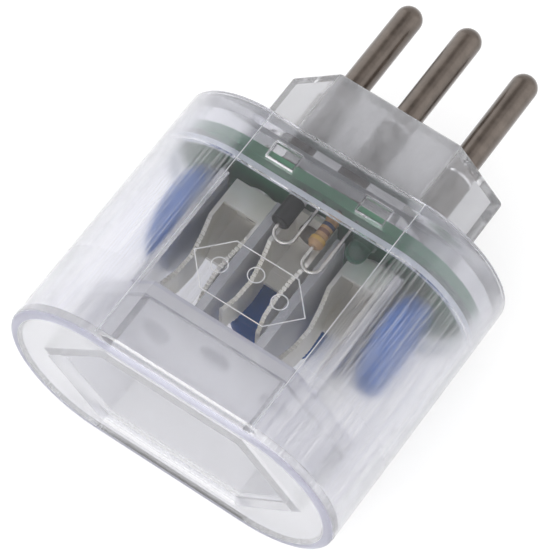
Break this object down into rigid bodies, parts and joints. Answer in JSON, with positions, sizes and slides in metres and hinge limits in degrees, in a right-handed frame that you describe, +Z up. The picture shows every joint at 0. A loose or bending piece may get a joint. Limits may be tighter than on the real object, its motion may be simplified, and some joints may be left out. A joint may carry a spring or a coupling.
{
  "type": "in-line surge protector plug",
  "caption": "Clear in-line surge protector plug with round pins on a hexagonal collar, a stadium-shaped case showing its circuit board, and a matching socket recess in the far end.",
  "frame": {"origin": "under the middle of the bounding box, on the flat back face that the plug lies on", "axes": "+Z up out of the front face, +Y along the pins towards their tips, +X along the long side of the stadium-shaped case"},
  "size_m": [0.0514, 0.073, 0.0274],
  "materials": {
    "clear_plastic": "clear moulded polycarbonate, fine brushed ribs round the ends",
    "pin_metal": "dull, darkened nickel plate on brass",
    "contact_metal": "tinned spring brass strip",
    "board_laminate": "green solder mask on glass laminate",
    "copper": "copper under solder mask",
    "solder": "dull bright solder",
    "varistor_coating": "blue dipped epoxy",
    "lead_wire": "tinned wire",
    "diode_case": "black moulded epoxy with a pale cathode band",
    "resistor_coating": "tan lacquer with coloured bands",
    "fuse_case": "cream moulded case",
    "led_lens": "green tinted lens"
  },
  "bodies": {
    "root": {"body_shell": "clear_plastic", "plug_cap": "clear_plastic", "live_pin": "pin_metal", "neutral_pin": "pin_metal", "earth_pin": "pin_metal", "live_contact": "contact_metal", "neutral_contact": "contact_metal", "earth_contact": "contact_metal", "circuit_board": "board_laminate", "copper_tracks": "copper", "solder_joints": "solder", "varistor_left": "varistor_coating", "varistor_left_leads": "lead_wire", "varistor_right": "varistor_coating", "varistor_right_leads": "lead_wire", "varistor_rear": "varistor_coating", "varistor_rear_leads": "lead_wire", "diode_body": "diode_case", "diode_leads": "lead_wire", "resistor_body": "resistor_coating", "resistor_leads": "lead_wire", "thermal_fuse_body": "fuse_case", "thermal_fuse_leads": "lead_wire", "indicator_led": "led_lens", "led_leads": "lead_wire"}
  },
  "joints": []
}
